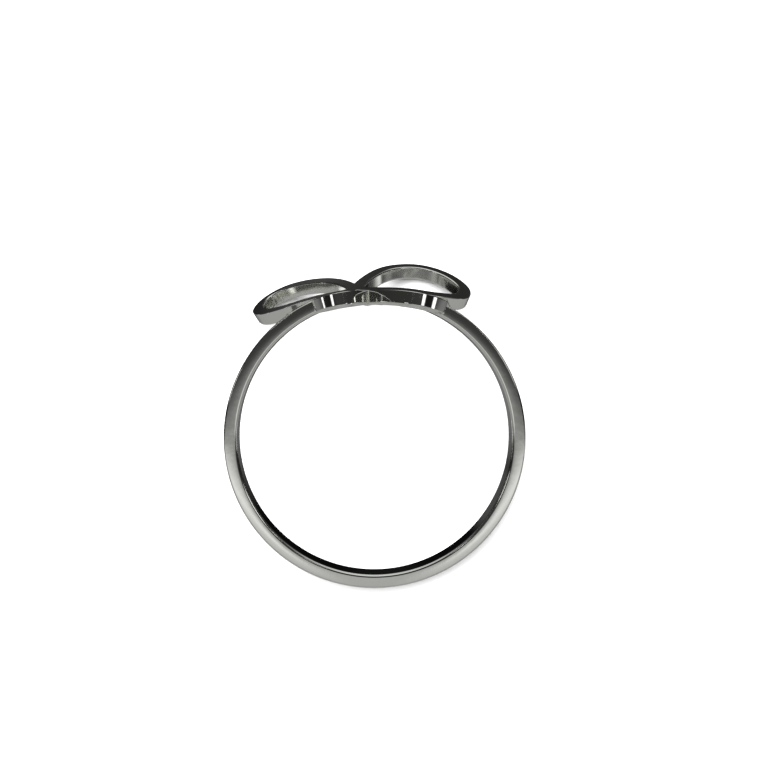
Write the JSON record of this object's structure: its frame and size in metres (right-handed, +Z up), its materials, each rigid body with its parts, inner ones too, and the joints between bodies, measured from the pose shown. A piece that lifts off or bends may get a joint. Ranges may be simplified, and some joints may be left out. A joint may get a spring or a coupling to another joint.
{
  "type": "finger ring",
  "caption": "Thin plain silver finger ring topped by an openwork butterfly with bent wings, lying on its side.",
  "frame": {"origin": "on the floor, under the middle of the ring's bounding box as it lies on its side", "axes": "+Z up from the floor, 15 degrees from the finger axis; +Y towards the butterfly; +X to the right as the front face is seen from above"},
  "size_m": [0.019, 0.0218, 0.0094],
  "materials": {
    "silver": "polished sterling silver, mirror-like with fine wear scratches"
  },
  "bodies": {
    "root": {"butterfly_ring": "silver"}
  },
  "joints": []
}
